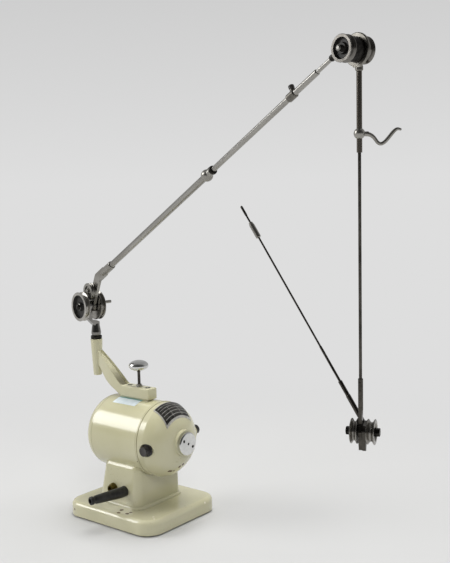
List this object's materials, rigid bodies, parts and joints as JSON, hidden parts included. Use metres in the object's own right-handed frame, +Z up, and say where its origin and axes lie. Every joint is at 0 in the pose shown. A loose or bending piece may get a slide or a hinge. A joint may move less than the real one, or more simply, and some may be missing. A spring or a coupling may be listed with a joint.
{
  "type": "dental drill engine",
  "caption": "Bench dental drill: cream electric motor on a cast base with a jointed steel cord arm, grooved pulleys and a folding handpiece link.",
  "frame": {"origin": "middle of the felt pad underside, on the table", "axes": "+X along the motor shaft to the chromed front cap, +Y away from the cable sleeve, +Z up"},
  "size_m": [0.5218, 0.1946, 0.5589],
  "materials": {
    "enamel": "semi-gloss greenish cream stove enamel",
    "chrome": "polished chromium plate",
    "nickel": "worn nickel plate",
    "steel": "bare turned steel",
    "darkSteel": "blackened steel",
    "bakelite": "black moulded bakelite",
    "rubber": "black rubber",
    "felt": "dark felt",
    "brass": "tarnished brass",
    "plate": "black filled plate",
    "iron": "stacked iron sheets",
    "copper": "varnished copper",
    "carbon": "pressed carbon"
  },
  "bodies": {
    "stand": {"base_pad": "felt", "base_plate": "enamel", "pedestal": "enamel", "pedestal_screws": "steel", "cable_sleeve": "rubber", "cable_fitting": "brass", "motor_shell": "enamel", "front_bell": "enamel", "rear_bell": "enamel", "tie_bolts": "steel", "bearing_cap": "chrome", "nameplate": "plate", "brush_holders": "brass", "brush_caps": "bakelite", "carbon_brushes": "carbon", "brush_springs": "steel", "stator_core": "iron", "field_coils": "copper", "shaft_bearings": "steel", "arm_bracket": "enamel", "bracket_screws": "steel", "knob_bush": "nickel"},
    "rotor": {"motor_shaft": "steel", "rotor_core": "iron", "commutator": "copper", "cooling_fan": "steel", "drive_pulley": "steel"},
    "switch": {"switch_knob": "chrome"},
    "turntable": {"spindle": "chrome", "spindle_collar": "darkSteel", "shoulder_axle": "steel"},
    "shoulder_wheel_left": {"shoulder_pulley_left": "nickel"},
    "shoulder_wheel_right": {"shoulder_pulley_right": "nickel"},
    "lower_arm": {"arm_strap": "nickel", "lower_tube": "nickel", "swivel_ball": "nickel"},
    "guide_wheel": {"guide_pulley": "nickel"},
    "upper_arm": {"upper_tube": "nickel", "swivel_ring": "darkSteel", "tube_clamp": "nickel"},
    "clamp_screw": {"thumb_screw": "bakelite"},
    "extension": {"extension_rod": "nickel", "elbow_hub": "darkSteel", "elbow_axle": "steel"},
    "elbow_wheel_left": {"elbow_pulley_left": "nickel"},
    "elbow_wheel_right": {"elbow_pulley_right": "nickel"},
    "forearm": {"forearm_head": "nickel", "forearm_tube": "nickel"},
    "hook": {"hook_clamp": "nickel", "cord_hook": "nickel"},
    "wrist": {"forearm_rod": "nickel", "wrist_stem": "nickel", "wrist_axle": "steel", "wrist_nuts": "darkSteel"},
    "wrist_wheel_left": {"wrist_pulley_left": "nickel"},
    "wrist_wheel_right": {"wrist_pulley_right": "nickel"},
    "link_yoke": {"link_strap": "nickel"},
    "handpiece_link": {"link_sleeve": "nickel", "link_rod": "nickel"},
    "nose": {"nose_sleeve": "nickel"}
  },
  "joints": [
    {"name": "rotor_spin", "type": "hinge", "parent": "stand", "child": "rotor", "pos_m": [0, 0, 0.105], "axis": [1, 0, 0], "continuous": true},
    {"name": "switch_push", "type": "slide", "parent": "stand", "child": "switch", "axis": [0, 0, 1], "range_m": [-0.006, 0]},
    {"name": "arm_turn", "type": "hinge", "parent": "stand", "child": "turntable", "pos_m": [-0.0753, 0, 0.2696], "axis": [0, 0, 1], "continuous": true},
    {"name": "shoulder_wheel_left_spin", "type": "hinge", "parent": "turntable", "child": "shoulder_wheel_left", "pos_m": [-0.0753, 0, 0.2696], "axis": [0.2164, 0.9763, 0], "continuous": true},
    {"name": "shoulder_wheel_right_spin", "type": "hinge", "parent": "turntable", "child": "shoulder_wheel_right", "pos_m": [-0.0753, 0, 0.2696], "axis": [0.2164, 0.9763, 0], "continuous": true},
    {"name": "arm_raise", "type": "hinge", "parent": "turntable", "child": "lower_arm", "pos_m": [-0.07634, -0.00469, 0.2696], "axis": [-0.2164, -0.9763, 0], "range_deg": [-20, 45]},
    {"name": "guide_wheel_spin", "type": "hinge", "parent": "lower_arm", "child": "guide_wheel", "pos_m": [-0.07174, -0.00571, 0.28923], "axis": [0.2164, 0.9763, 0], "continuous": true},
    {"name": "arm_swivel", "type": "hinge", "parent": "lower_arm", "child": "upper_arm", "pos_m": [0.17742, -0.06094, 0.43672], "axis": [0.8612, -0.1909, 0.471], "range_deg": [-90, 90]},
    {"name": "clamp_screw_turn", "type": "hinge", "parent": "upper_arm", "child": "clamp_screw", "pos_m": [0.31461, -0.09136, 0.51176], "axis": [-0.4598, 0.1019, 0.8821], "range_deg": [-180, 180]},
    {"name": "arm_extend", "type": "slide", "parent": "upper_arm", "child": "extension", "axis": [0.8612, -0.1909, 0.471], "range_m": [-0.015, 0.04]},
    {"name": "elbow_wheel_left_spin", "type": "hinge", "parent": "extension", "child": "elbow_wheel_left", "pos_m": [0.39051, -0.10818, 0.54386], "axis": [0.2164, 0.9763, 0], "continuous": true},
    {"name": "elbow_wheel_right_spin", "type": "hinge", "parent": "extension", "child": "elbow_wheel_right", "pos_m": [0.39051, -0.10818, 0.54386], "axis": [0.2164, 0.9763, 0], "continuous": true},
    {"name": "elbow_bend", "type": "hinge", "parent": "extension", "child": "forearm", "pos_m": [0.39051, -0.10818, 0.54386], "axis": [0.2164, 0.9763, 0], "range_deg": [-70, 35]},
    {"name": "hook_turn", "type": "hinge", "parent": "forearm", "child": "hook", "pos_m": [0.39174, -0.10088, 0.46986], "axis": [0.0051, -0.0011, 1], "continuous": true},
    {"name": "wrist_swivel", "type": "hinge", "parent": "forearm", "child": "wrist", "pos_m": [0.39211, -0.10096, 0.54386], "axis": [0.0051, -0.0011, 1], "range_deg": [-120, 120]},
    {"name": "wrist_wheel_left_spin", "type": "hinge", "parent": "wrist", "child": "wrist_wheel_left", "pos_m": [0.39032, -0.10056, 0.19386], "axis": [0.9397, 0.342, -0.0044], "continuous": true},
    {"name": "wrist_wheel_right_spin", "type": "hinge", "parent": "wrist", "child": "wrist_wheel_right", "pos_m": [0.39032, -0.10056, 0.19386], "axis": [0.9397, 0.342, -0.0044], "continuous": true},
    {"name": "link_fold", "type": "hinge", "parent": "wrist", "child": "link_yoke", "pos_m": [0.39032, -0.10056, 0.19386], "axis": [0.9397, 0.342, -0.0044], "range_deg": [-50, 20]},
    {"name": "link_tilt", "type": "hinge", "parent": "link_yoke", "child": "handpiece_link", "pos_m": [0.38695, -0.08805, 0.19702], "axis": [0.339, -0.9295, 0.145], "range_deg": [-50, 10]},
    {"name": "nose_turn", "type": "hinge", "parent": "handpiece_link", "child": "nose", "pos_m": [0.27595, -0.10098, 0.37363], "axis": [-0.5311, -0.0619, 0.845], "continuous": true}
  ]
}
